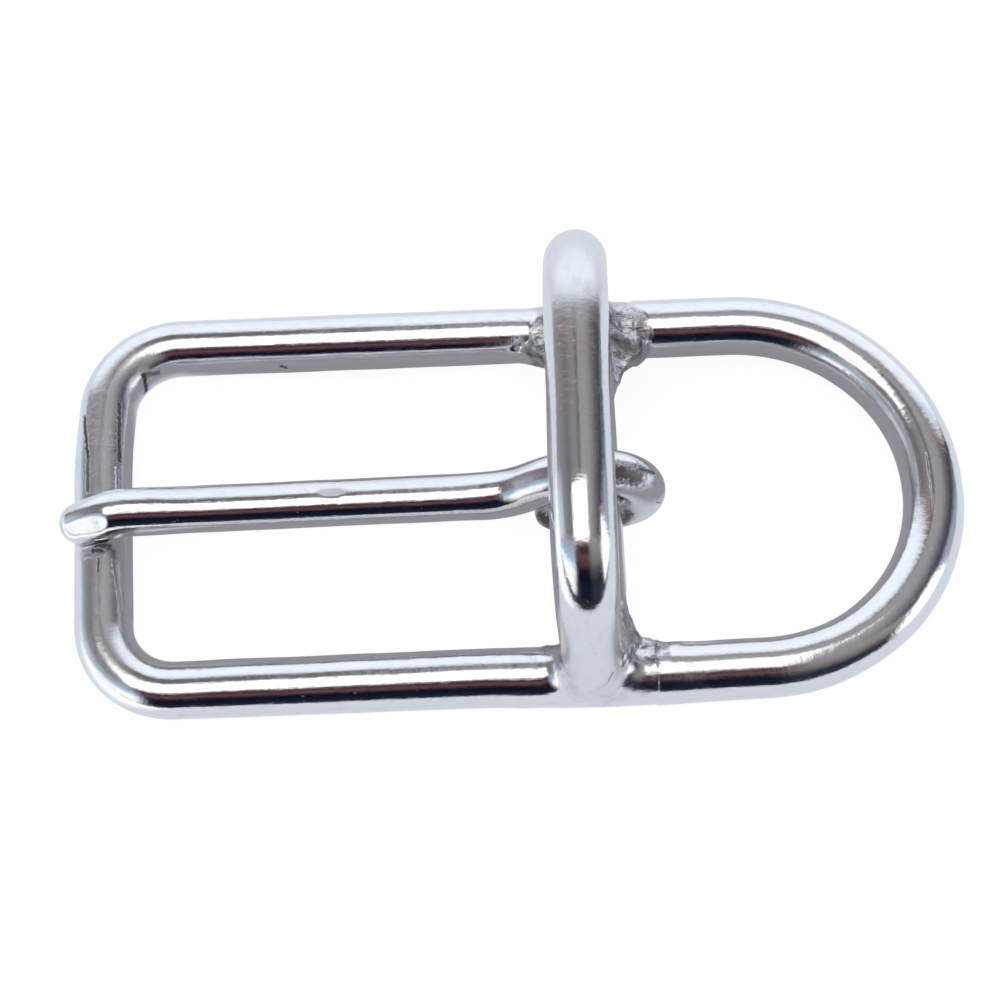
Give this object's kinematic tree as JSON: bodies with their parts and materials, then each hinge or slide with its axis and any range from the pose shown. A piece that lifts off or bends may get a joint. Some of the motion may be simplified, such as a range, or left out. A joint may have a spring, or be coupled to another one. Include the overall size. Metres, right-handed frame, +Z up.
{
  "type": "strap buckle",
  "caption": "Polished welded wire strap buckle with a swinging tongue on a centre bar, an upright keeper loop and a D-shaped ring end.",
  "frame": {"origin": "the middle of the centre bar, which is the axis that the tongue swings on", "axes": "+X towards the ring end, +Y along the centre bar, +Z up from the surface that the buckle lies on"},
  "size_m": [0.0716, 0.035, 0.0233],
  "materials": {
    "frame_steel": "polished, with ground welds",
    "tongue_steel": "polished, with small dents and scratches"
  },
  "bodies": {
    "buckle_frame": {"frame": "frame_steel"},
    "buckle_tongue": {"tongue": "tongue_steel"}
  },
  "joints": [
    {"name": "tongue_hinge", "type": "hinge", "parent": "buckle_frame", "child": "buckle_tongue", "pos_m": [0, -0.0013, 0], "axis": [0, 1, 0], "range_deg": [0, 65]}
  ]
}
